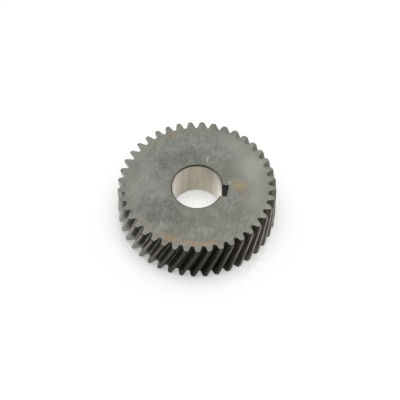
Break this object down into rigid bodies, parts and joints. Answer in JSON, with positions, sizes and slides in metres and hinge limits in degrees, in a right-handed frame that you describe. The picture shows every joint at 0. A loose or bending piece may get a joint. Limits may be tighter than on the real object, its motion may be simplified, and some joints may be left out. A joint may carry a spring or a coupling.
{
  "type": "helical gear",
  "caption": "Flat disc gear with right-hand helical teeth, blackened flanks, a plain ground bore and one through keyway.",
  "frame": {"origin": "on the bore's axis, in the plane of the lower face", "axes": "+Z along the bore from the lower face to the upper face, +X from the bore's axis towards the keyway; a tooth stands on +X at the upper face"},
  "size_m": [0.057, 0.057, 0.016],
  "materials": {
    "gear_steel": "dull grey faces, black oxide teeth, bright ground bore"
  },
  "bodies": {
    "root": {"helical_gear": "gear_steel"}
  },
  "joints": []
}
